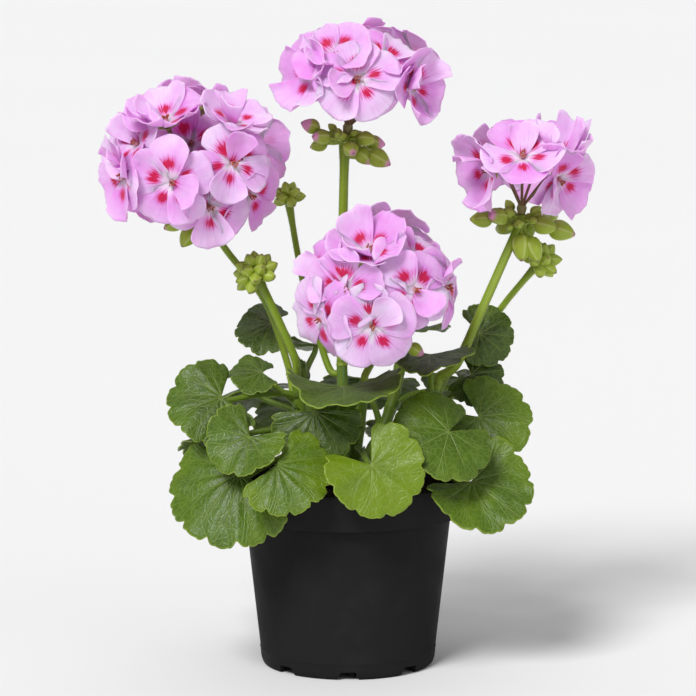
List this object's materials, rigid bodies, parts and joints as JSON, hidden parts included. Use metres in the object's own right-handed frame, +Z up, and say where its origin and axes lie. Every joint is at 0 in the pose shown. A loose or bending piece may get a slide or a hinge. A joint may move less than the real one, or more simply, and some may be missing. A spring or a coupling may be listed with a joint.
{
  "type": "potted zonal geranium",
  "caption": "Zonal geranium in bloom in a round black plastic nursery pot, with crenate leaves, pink umbels and green bud heads.",
  "frame": {"origin": "on the ground at the middle of the part's outline seen from above, under the pot's centre", "axes": "+Z up along the pot's axis, -Y towards the plant's front, +X to the right seen from the front"},
  "size_m": [0.2435, 0.1588, 0.3197],
  "materials": {
    "pot_plastic": "matte moulded black plastic",
    "peat": "dark damp peat, crumbly",
    "stem_bark": "green-brown succulent stem",
    "leaf": "soft, finely haired green blade",
    "flower_stalk": "yellow-green, finely haired",
    "petal": "thin, silky lilac-pink petal"
  },
  "bodies": {
    "root": {"pot": "pot_plastic", "potting_soil": "peat", "main_stem": "stem_bark", "leafy_stem_left": "leaf", "leafy_stem_front": "leaf", "leafy_stem_right": "leaf", "leafy_stem_back_left": "leaf", "leafy_stem_back_right": "leaf", "leafy_stem_middle": "leaf", "flower_stalk_left": "flower_stalk", "flower_stalk_top": "flower_stalk", "flower_stalk_right": "flower_stalk", "flower_stalk_front": "flower_stalk", "bloom_left": "petal", "bloom_top": "petal", "bloom_right": "petal", "bloom_front": "petal", "bud_head_bright": "flower_stalk", "bud_head_half_open": "flower_stalk", "bud_head_small": "flower_stalk"}
  },
  "joints": []
}
